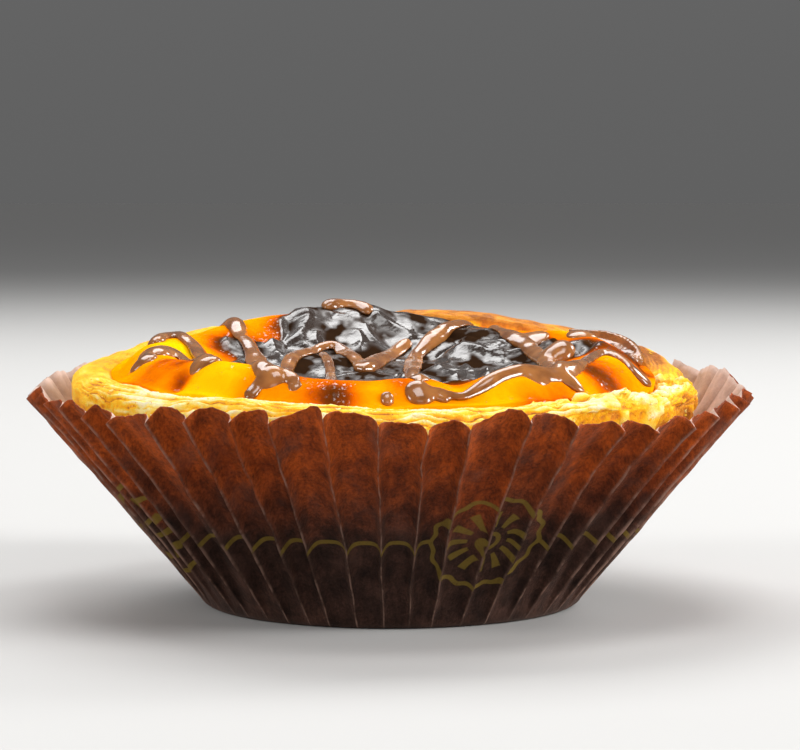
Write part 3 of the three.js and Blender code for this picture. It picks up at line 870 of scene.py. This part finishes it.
# The poured lines from above. Each runs to and fro across the tart: x, y, thickness
pouredLines = [
    [(-28.7, 4, 1), (-28.5, 9, 1), (-27, 12.5, 1), (-25.3, 9, 1), (-23.6, 5, 1), (-21.8, -6, 1),
     (-20.8, -19, 1.1), (-22.8, -12, 1), (-25.3, -2.6, 1.1), (-27.2, -3.4, 1.3), (-28.3, -6.4, 1.2),
     (-29.2, -11, 1)],
    [(-22.4, 25, 0.9), (-20.4, 21.5, 0.9), (-19.1, 16.5, 1), (-17.4, 11, 1), (-16, 2, 1), (-15, -14, 1),
     (-13.6, -28, 1.2)],
    [(-13, -28, 1.1), (-12.6, -14, 0.8), (-12.6, 6, 0.8), (-10.5, 13, 0.9), (-7.7, 16.4, 1), (-6, 15, 1),
     (-4.2, 9.5, 1), (-3.3, 6, 1), (-1.4, 12.5, 1.2), (0.4, 17, 1.2), (2.2, 20.5, 1)],
    [(-8.7, 12.6, 0.7), (-7.5, 5, 0.7), (-7, -8, 0.6), (-6.5, -17, 0.6)],
    [(10.6, 30, 0.9), (9.6, 28.6, 1), (8.2, 26, 1.1), (6.2, 22, 1.1), (4.2, 18.5, 1.1), (3, 15, 1),
     (2.7, 8, 1), (2.5, -8, 0.9), (3.3, -29, 0.9)],
    [(3.3, -30.4, 1), (5.8, -29.8, 0.7), (7.8, -29.4, 0.6), (9.3, -28, 0.8), (11, -26.4, 1), (12.9, -24.8, 1),
     (15, -23.4, 1.2), (17.5, -22.8, 1.1), (19.4, -21, 1), (20.9, -17.5, 1), (22.4, -9, 1), (24, -2, 1),
     (25.6, 0.4, 1), (27, -1.4, 1), (28.4, -3.4, 1), (29.6, -5.5, 1.1)],
    [(13.2, 28, 0.8), (14.2, 24, 1), (15.4, 19, 1.1), (17, 14.5, 1.1), (18.2, 9, 1.1), (19.2, 2, 1.1),
     (19.4, -10, 1), (19.4, -20.6, 1), (20.4, -22, 0.9), (21.8, -22.6, 0.9)],
    [(19, 25.5, 0.7), (24, 22.5, 0.9), (28, 18.5, 1), (30.2, 13, 1), (30.2, 7, 0.8)],
    [(-8.6, 26, 0.9), (-7.6, 28, 1.2), (-5.6, 29, 1.4), (-3.8, 28, 1.2), (-2.9, 25.5, 0.9)],
    [(-15.6, -29.2, 0.6), (-14.1, -27.6, 0.8), (-12.7, -27, 0.9), (-11.2, -27.4, 0.8), (-10.2, -29.6, 0.7)],
]
# Blobs where the line slowed down: x, y, radius across, height over the skin
blobs = [
    (-13, -27.4, 1.8, 1.2), (-15.1, -28.9, 1, 0.5), (-10.4, -29.4, 0.9, 0.5), (3.2, -30.3, 1.7, 0.9),
    (5.6, -29.9, 1.1, 0.6), (-0.3, -31.5, 0.85, 0.7), (-28.8, -9.5, 1.7, 0.8), (-27.8, -5.5, 2.2, 0.9),
    (-26.2, -3.4, 2.2, 0.8), (-23.6, -9, 1.4, 0.5), (-20.8, -19.6, 2, 0.9), (16, -23.2, 2, 0.8),
    (29.4, -4.6, 1.6, 0.9), (20.3, 7, 2.4, 1.5), (17.5, 17, 2.6, 0.7), (24, 15, 2.2, 0.6),
    (28.6, 15, 1.6, 0.5), (23.6, -2, 1.6, 0.7),
]


def strandTree(material):
    numbers = {"spacing": 0.0, "sides": 0, "radius": 0.0, "flatness": 0.0}
    tree, node, result = geometryTree("pouredStrand", numbers)
    given = node.outputs
    line = worked(tree, given["Geometry"], "ResampleCurve", {"Length": given["spacing"]}, mode="LENGTH")
    line = worked(tree, line, "SetCurveNormal", mode="Z_UP")
    ring = addNode(tree, "GeometryNodeCurvePrimitiveCircle",
                   {"Resolution": given["sides"], "Radius": given["radius"]})
    pressed = worked(tree, ring.outputs[0], "Transform", {"Scale": vectorOf(tree, 1, given["flatness"], 1)})
    thick = addNode(tree, "GeometryNodeInputRadius").outputs[0]
    tube = worked(tree, line, "CurveToMesh", {"Profile Curve": pressed, "Scale": thick, "Fill Caps": True})
    return finishTree(tree, tube, material, result)


def smoothPath(points, steps):  # through the points, with rounded corners
    points = np.array(points, float)
    padded = np.vstack([2 * points[0] - points[1], points, 2 * points[-1] - points[-2]])
    path = []
    for k in range(len(points) - 1):
        p0, p1, p2, p3 = padded[k:k + 4]
        for s in np.arange(steps) / steps:
            path.append(0.5 * (2 * p1 + (p2 - p0) * s + (2 * p0 - 5 * p1 + 4 * p2 - p3) * s ** 2
                               + (3 * p1 - p0 - 3 * p2 + p3) * s ** 3))
    return np.array(path + [points[-1]])


def rimHeightUnder(x, y):  # the pastry's rim where it stands over the custard's edge, else far below
    angle = np.arctan2(y, x)
    over = np.hypot(x, y) > custardRadius(angle) + 0.3
    return np.where(over, rimTop(angle) - 0.3, -100)


def restingHeight(x, y, reach):  # averaged over what lies under the sauce
    total = custardSkin(x, y)[0]
    for far in (reach, 2 * reach):
        for dx, dy in ((far, 0), (-far, 0), (0, far), (0, -far)):
            total = total + custardSkin(x + dx, y + dy)[0]
    return np.maximum(total / 9, rimHeightUnder(x, y))


def strandMesh(tree, line, seed, wide, flatness):
    path = smoothPath(line, 12)
    x, y, thick = path.T
    run = np.concatenate([[0], np.cumsum(np.hypot(np.diff(x), np.diff(y)))])
    thick = wide * thick * (1 + sauce["unevenness"] * softNoise(run * 0.2, seed * 3.1, 0, 61))
    thick = thick * np.sqrt(np.clip(np.minimum(run, run[-1] - run) / 1.2, 0.03, 1))
    curve = bpy.data.curves.new("strandPath", "CURVE")
    curve.dimensions = "3D"
    spline = curve.splines.new("POLY")
    spline.points.add(len(path) - 1)
    for point, place, size in zip(spline.points, zip(x, y), thick):
        point.co = (place[0] * mm, place[1] * mm, sauce["lift"] * mm, 1)
        point.radius = size
    inputs = {"spacing": sauce["pointSpacing"] * mm, "sides": sauce["ringSides"],
              "radius": sauce["strandRadius"] * mm, "flatness": flatness}
    return drape(meshFromTree(tree, curve, inputs))


def blobMesh(x, y, radius, height):
    made = bmesh.new()
    bmesh.ops.create_icosphere(made, subdivisions=4, radius=1)
    place = Matrix.Translation(Vector((x, y, 0)) * mm)
    shape = Matrix.Diagonal((radius * mm, radius * mm, height * mm, 1))
    made.transform(place @ shape)
    mesh = bpy.data.meshes.new("blob")
    made.to_mesh(mesh)
    made.free()
    return drape(mesh)


def drape(mesh):  # what was made flat comes to lie on the custard and the rim
    places = np.empty(len(mesh.vertices) * 3, np.float32)
    mesh.vertices.foreach_get("co", places)
    x, y = places[0::3] / mm, places[1::3] / mm
    places[2::3] += restingHeight(x, y, 0.9) * mm
    mesh.vertices.foreach_set("co", places)
    return mesh


def joinMeshes(name, meshes):
    whole = bmesh.new()
    for mesh in meshes:
        whole.from_mesh(mesh)
    mesh = bpy.data.meshes.new(name)
    whole.to_mesh(mesh)
    whole.free()
    return mesh


def makeSauce():
    material = sauceMaterial()
    tree = strandTree(material)
    parts = [blobMesh(*blob) for blob in blobs]
    for seed, line in enumerate(pouredLines):
        parts.append(strandMesh(tree, line, seed, 1, sauce["flatness"]))
        parts.append(strandMesh(tree, line, seed + 20, sauce["spread"], sauce["spreadFlatness"]))
    poured = addObject("chocolateSauce", joinMeshes("chocolateSauce", parts))
    # one skin over all the strands, drawn together where they meet
    adjust(poured.modifiers.new("melted", "REMESH"), mode="VOXEL", voxel_size=sauce["voxel"] * mm)
    adjust(poured.modifiers.new("rounded", "SMOOTH"), factor=0.5, iterations=sauce["smoothing"])
    mesh = plainMesh(poured)
    poured.modifiers.clear()
    poured.data = mesh
    mesh.materials.clear()
    mesh.materials.append(material)
    mesh.shade_smooth()
    settle(poured, "chocolate_sauce")


def sauceMaterial():
    material, tree, shader, place = startMaterial("milkChocolate")
    blotch = noiseOf(tree, place, 0.35, 3, 0.5).smooth(0.25, 0.75)
    colour = mixColour(tree, blotch, (0.17, 0.052, 0.009), (0.4, 0.155, 0.038))
    feed(shader, {"Base Color": colour, "Roughness": 0.13, "Specular IOR Level": 0.75})
    addDepth(shader, 0.1, (1.0, 0.4, 0.15), 0.0006)
    addBump(tree, shader, noiseOf(tree, place, 0.3, 1, 0.5), 0.0003, 0.3)
    return material


# ---- flakes and crumbs: scattered over the pastry's rim

# A bit's length, width and thickness are measured from its middle
flakes = {"density": 2.0e5, "length": 0.55, "width": 0.24, "thickness": 0.03, "seed": 4}
crumbs = {"density": 3.0e5, "length": 0.1, "width": 0.1, "thickness": 0.1, "seed": 9}


def randomVector(tree, low, high, seed=0):
    values = {"Min": low, "Max": high, "Seed": seed}
    return addNode(tree, "FunctionNodeRandomValue", values, data_type="FLOAT_VECTOR").outputs[0]


def scatterTree(name, material, bit):
    tree, node, result = geometryTree(name, {"density": 0.0, "seed": 0})
    given = node.outputs
    share = addNode(tree, "GeometryNodeInputNamedAttribute", {"Name": "flaky"}, data_type="FLOAT")
    density = Sum(tree, share.outputs[0]) ** 3 * Sum(tree, given["density"])
    points = addNode(tree, "GeometryNodeDistributePointsOnFaces",
                     {"Mesh": given["Geometry"], "Density": density, "Seed": given["seed"]})
    ball = addNode(tree, "GeometryNodeMeshIcoSphere", {"Radius": 1, "Subdivisions": 2})
    x, y, z = positionParts(tree)
    length, width, thickness = (bit[key] * mm for key in ("length", "width", "thickness"))
    ragged = 0.6 + 0.8 * noiseOf(tree, vectorOf(tree, x, y, 0), 1.7, 2, 0.6)
    bent = vectorOf(tree, x * ragged * length, y * ragged * width + x * x * (0.3 * width),
                    z * thickness + x * x * (0.1 * length))
    flake = worked(tree, ball.outputs["Mesh"], "SetPosition", {"Position": bent})
    # the long way lies round the rim, give or take a little
    x, y, _ = positionParts(tree)
    axes = {"Primary Axis": points.outputs["Normal"], "Secondary Axis": vectorOf(tree, -y, x, 0)}
    onward = addNode(tree, "FunctionNodeAxesToRotation", axes, primary_axis="Z", secondary_axis="X")
    tilt = randomVector(tree, (-0.3, -0.2, -0.5), (0.3, 0.2, 0.5), given["seed"])
    turns = {"Rotation": onward.outputs[0], "Rotate By": tilt}
    turned = addNode(tree, "FunctionNodeRotateRotation", turns, rotation_space="LOCAL").outputs[0]
    size = randomVector(tree, (0.3, 0.35, 0.6), (1.0, 1.0, 1.3))
    placed = worked(tree, points.outputs["Points"], "InstanceOnPoints",
                    {"Instance": flake, "Rotation": turned, "Scale": size})
    tone = addNode(tree, "FunctionNodeRandomValue", data_type="FLOAT").outputs[1]
    marks = {"Name": "tone", "Value": Sum(tree, tone) * 0.45 + 0.4}
    placed = worked(tree, placed, "StoreNamedAttribute", marks, data_type="FLOAT", domain="INSTANCE")
    return finishTree(tree, worked(tree, placed, "SetShadeSmooth"), material, result)


def flakeMaterial():
    material, tree, shader, place = startMaterial("pastryFlake")
    tone = attributeOf(tree, "tone") + (noiseOf(tree, place, 1.6, 3, 0.6) - 0.5) * 0.4
    feed(shader, {"Base Color": ramp(tree, tone, crustTones), "Roughness": 0.5, "Specular IOR Level": 0.1})
    addDepth(shader, 0.3, (1.0, 0.5, 0.12), 0.001)
    return material


def makeFlakes(shell):
    material = flakeMaterial()
    for name, bit in (("pastryFlakes", flakes), ("pastryCrumbs", crumbs)):
        mesh = meshFromTree(scatterTree(name, material, bit), shell.data, bit)
        settle(addObject(name, mesh), "pastry")


# ---- stage

studio = {
    "floorShade": 0.55,
    "floorReach": 60,
    "horizonLight": 0.12,
    "upperLight": 0.22,
}


def makeStage():
    floorMesh = bpy.data.meshes.new("floor")
    far = studio["floorReach"]
    corners = [(-far, -far, 0), (far, -far, 0), (far, far, 0), (-far, far, 0)]
    floorMesh.from_pydata(corners, [], [(0, 1, 2, 3)])
    floor = addObject("floor", floorMesh)
    material, _, shader, _ = startMaterial("paleFloor")
    shade = studio["floorShade"]
    colour = (shade, shade * 0.99, shade * 0.97)
    feed(shader, {"Base Color": colour, "Roughness": 0.7, "Specular IOR Level": 0.1})
    floorMesh.materials.append(material)
    world = bpy.data.worlds.new("studio")
    bpy.context.scene.world = world
    world.use_nodes = True
    tree = world.node_tree
    _, _, up = partsOf(tree, addNode(tree, "ShaderNodeTexCoord").outputs["Generated"])
    low, high = studio["horizonLight"], studio["upperLight"]
    colour = mixColour(tree, up.smooth(0.0, 0.5), (low, low, low), (high, high, high * 1.01))
    feed(tree.nodes["Background"], {"Color": colour})


# Lamps: where, how wide and tall, how strong
lamps = {
    "key": ((-0.15, 0.5, 0.75), 0.7, 0.5, 5.8),
    "rear": ((0.5, 0.45, 0.5), 0.25, 0.2, 2.0),
    "top": ((0.05, -0.1, 0.8), 0.4, 0.25, 1.8),
    "left": ((-0.9, -0.3, 0.38), 0.3, 0.5, 4.5),
    "right": ((0.9, -0.3, 0.42), 0.3, 0.5, 10.0),
    "fill": ((0.1, -1.0, 0.5), 0.7, 0.5, 1.5),
}


def makeLamps():
    target = Vector((0, 0, 0.025))
    for name, (place, width, tall, power) in lamps.items():
        data = bpy.data.lights.new(name, "AREA")
        adjust(data, shape="RECTANGLE", size=width, size_y=tall, energy=power)
        lamp = addObject(name, data)
        lamp.location = place
        lamp.rotation_euler = (target - lamp.location).to_track_quat("-Z", "Y").to_euler()


view = {"distance": 320.0, "height": 48.1, "side": 1.08, "pitch": 3.73, "lens": 120.0}


def makeCamera():
    data = bpy.data.cameras.new("camera")
    adjust(data, sensor_width=36, lens=view["lens"], clip_start=0.01, clip_end=200)
    camera = addObject("camera", data)
    camera.location = (view["side"] * mm, -view["distance"] * mm, view["height"] * mm)
    camera.rotation_euler = (math.radians(90 - view["pitch"]), 0, 0)
    bpy.context.scene.camera = camera


makeCamera()
makeLamps()
makeStage()
makePaperCase()
pastryShell = makePastryShell()
makeCustard()
makeSauce()
makeFlakes(pastryShell)
bpy.context.scene.view_settings.view_transform = "Standard"

print("all made")
